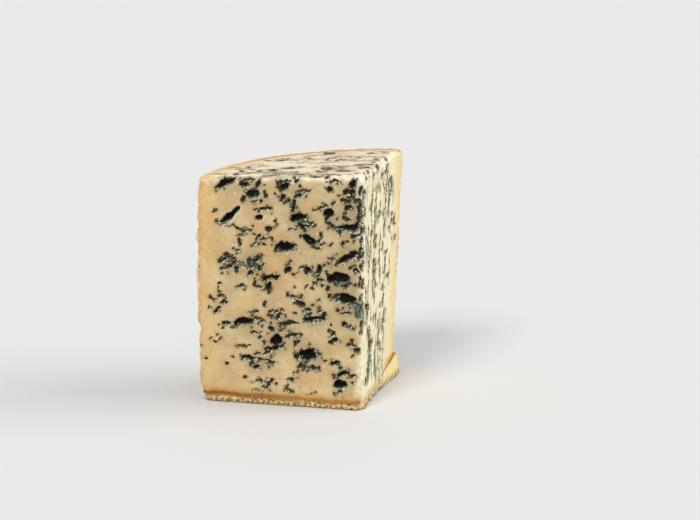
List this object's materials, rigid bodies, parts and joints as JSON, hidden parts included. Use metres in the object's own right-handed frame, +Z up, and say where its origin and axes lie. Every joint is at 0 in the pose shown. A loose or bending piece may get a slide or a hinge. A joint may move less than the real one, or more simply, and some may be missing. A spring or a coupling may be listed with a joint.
{
  "type": "cheese wedge",
  "caption": "Tall wedge of blue-veined cheese cut from a small wheel, with open mould hollows in both cut faces and a crusty rind.",
  "frame": {"origin": "middle of the bounding box, on the flat bottom rind the wedge stands on", "axes": "+Z up, -Y toward the cutting edge where the two cut faces meet, +Y toward the middle of the rind wall, +X to the right seen from the cutting edge"},
  "size_m": [0.1264, 0.0904, 0.1261],
  "materials": {
    "cheese_paste": "dried cut paste, satin, with blue-green mould in its hollows and a dry crusted rind"
  },
  "bodies": {
    "root": {"cheese_wedge": "cheese_paste"}
  },
  "joints": []
}
